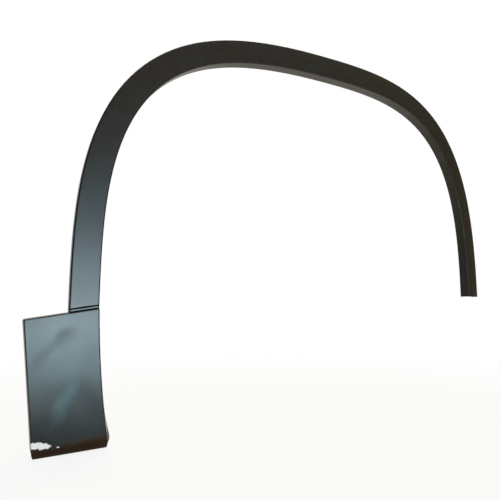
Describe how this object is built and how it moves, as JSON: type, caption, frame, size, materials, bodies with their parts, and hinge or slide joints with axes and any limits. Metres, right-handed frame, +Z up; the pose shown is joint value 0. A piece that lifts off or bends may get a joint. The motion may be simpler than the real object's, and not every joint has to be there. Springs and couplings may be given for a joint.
{
  "type": "wheel arch trim",
  "caption": "Moulded trim that edges a wheel opening: a thin channel-section band with clip seats behind it, and a broad hollow block at its lower rear end.",
  "frame": {"origin": "midway between the two foot screw holes, on their seat inside the foot", "axes": "+X to the front of the vehicle, +Y in from the vehicle's side, +Z up"},
  "size_m": [0.9286, 0.112, 0.6469],
  "materials": {
    "moulded_black": "satin, moulded black"
  },
  "bodies": {
    "root": {"arch_trim": "moulded_black"}
  },
  "joints": []
}
